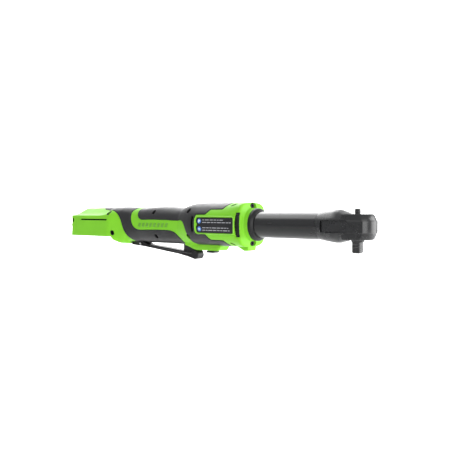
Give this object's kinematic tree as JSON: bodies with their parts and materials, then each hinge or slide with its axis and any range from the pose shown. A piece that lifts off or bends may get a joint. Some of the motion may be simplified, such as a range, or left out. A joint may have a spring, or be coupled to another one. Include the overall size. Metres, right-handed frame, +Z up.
{
  "type": "cordless extended-reach ratchet",
  "caption": "Battery-powered in-line ratchet wrench with a long extension tube, vertical square drive, lever trigger, open battery foot and soft-grip two-colour housing.",
  "frame": {"origin": "centre of the square drive's end face", "axes": "+X along the tool from the battery foot to the ratchet head, +Z up, away from the drive's tip; the lever is underneath"},
  "size_m": [0.5055, 0.0722, 0.0785],
  "materials": {
    "head_steel": "black oxide over machined and blasted steel",
    "drive_steel": "black oxide, worn satin",
    "gear_steel": "hardened and ground",
    "bearing_steel": "ground, oiled",
    "spring_steel": "oil-tempered",
    "screw_steel": "black zinc",
    "tube_coating": "satin black coating on steel tube",
    "bronze": "sintered bronze",
    "cast_alloy": "die-cast",
    "lamination": "stacked electrical steel",
    "copper": "enamelled copper wire",
    "magnet": "nickel-plated magnet",
    "contact_metal": "tinned contact copper",
    "green_plastic": "satin moulded nylon, lime green",
    "soft_grip": "fine textured soft overmold",
    "black_plastic": "fine spark-eroded texture",
    "label_film": null,
    "clear_lens": "clear moulded lens",
    "circuit_board": "solder mask",
    "wire_insulation": "silicone insulation"
  },
  "bodies": {
    "housing": {"ratchet_head": "head_steel", "anvil_bush": "bronze", "head_cover": "bearing_steel", "head_snap_ring": "spring_steel", "extension_tube": "tube_coating", "clamp_collar": "black_plastic", "shaft_steady": "bronze", "needle_bearing": "bearing_steel", "carrier_bearing": "bearing_steel", "gear_case": "cast_alloy", "gear_case_cover": "cast_alloy", "case_screws": "screw_steel", "ring_gear": "gear_steel", "motor_stator": "lamination", "stator_windings": "copper", "motor_rear_bearing": "bearing_steel", "motor_front_bearing": "bearing_steel", "housing_left": "green_plastic", "housing_right": "green_plastic", "grip_overmold_left": "soft_grip", "grip_overmold_right": "soft_grip", "motor_overmold_left": "soft_grip", "motor_overmold_right": "soft_grip", "nameplate_left": "label_film", "nameplate_right": "label_film", "vent_grilles": "black_plastic", "housing_screws": "screw_steel", "rubber_stub": "soft_grip", "led_lens": "clear_lens", "led_board": "circuit_board", "lever_pivot_pin": "bearing_steel", "lever_spring": "spring_steel", "trigger_switch": "black_plastic", "terminal_block": "black_plastic", "terminal_blades": "contact_metal", "controller_board": "circuit_board", "controller_parts": "black_plastic", "ring_board": "circuit_board", "wire_leads": "wire_insulation"},
    "carrier": {"planet_carrier": "gear_steel", "planet_pins": "bearing_steel", "drive_shaft": "gear_steel", "crankshaft": "gear_steel", "drive_bushing": "bearing_steel"},
    "rotor": {"motor_shaft": "bearing_steel", "rotor_core": "lamination", "rotor_magnets": "magnet", "cooling_fan": "black_plastic", "sun_gear": "gear_steel"},
    "planet_1": {"planet_gear_1": "gear_steel"},
    "planet_2": {"planet_gear_2": "gear_steel"},
    "planet_3": {"planet_gear_3": "gear_steel"},
    "yoke": {"yoke": "gear_steel"},
    "anvil": {"anvil": "drive_steel", "pawl_pin": "gear_steel", "detent_ball": "bearing_steel"},
    "pawl": {"pawl": "gear_steel"},
    "selector": {"direction_knob": "drive_steel"},
    "lever": {"lever": "black_plastic"},
    "plunger": {"switch_plunger": "black_plastic"}
  },
  "joints": [
    {"name": "carrier_spin", "type": "hinge", "parent": "housing", "child": "carrier", "pos_m": [-0.1, 0, 0.031], "axis": [1, 0, 0], "continuous": true},
    {"name": "rotor_spin", "type": "hinge", "parent": "housing", "child": "rotor", "pos_m": [-0.22, 0, 0.031], "axis": [1, 0, 0], "continuous": true},
    {"name": "planet_1_spin", "type": "hinge", "parent": "carrier", "child": "planet_1", "pos_m": [-0.1915, 0, 0.04315], "axis": [1, 0, 0], "continuous": true},
    {"name": "planet_2_spin", "type": "hinge", "parent": "carrier", "child": "planet_2", "pos_m": [-0.1915, 0.01052, 0.02492], "axis": [1, 0, 0], "continuous": true},
    {"name": "planet_3_spin", "type": "hinge", "parent": "carrier", "child": "planet_3", "pos_m": [-0.1915, -0.01052, 0.02492], "axis": [1, 0, 0], "continuous": true},
    {"name": "yoke_swing", "type": "hinge", "parent": "housing", "child": "yoke", "pos_m": [0, 0, 0.031], "axis": [0, 0, 1], "range_deg": [-3.3, 3.3]},
    {"name": "anvil_turn", "type": "hinge", "parent": "housing", "child": "anvil", "pos_m": [0, 0, 0.031], "axis": [0, 0, 1], "continuous": true},
    {"name": "pawl_rock", "type": "hinge", "parent": "anvil", "child": "pawl", "pos_m": [0.005, 0, 0.031], "axis": [0, 0, 1], "range_deg": [-3, 3]},
    {"name": "selector_turn", "type": "hinge", "parent": "anvil", "child": "selector", "pos_m": [0, 0, 0.049], "axis": [0, 0, 1], "range_deg": [0, 80]},
    {"name": "lever_press", "type": "hinge", "parent": "housing", "child": "lever", "pos_m": [-0.352, 0, 0], "axis": [0, -1, 0], "range_deg": [0, 3.5], "stiffness_Nm_per_rad": 6, "springref_deg": -2.86},
    {"name": "switch_press", "type": "slide", "parent": "housing", "child": "plunger", "axis": [0, 0, 1], "range_m": [0, 0.0065]}
  ],
  "couplings": [
    {"joint": "rotor_spin", "follows": "carrier_spin", "ratio": 4.5},
    {"joint": "planet_1_spin", "follows": "carrier_spin", "ratio": -2.8},
    {"joint": "planet_2_spin", "follows": "carrier_spin", "ratio": -2.8},
    {"joint": "planet_3_spin", "follows": "carrier_spin", "ratio": -2.8},
    {"joint": "switch_press", "follows": "lever_press", "m_per_rad": 0.1}
  ]
}
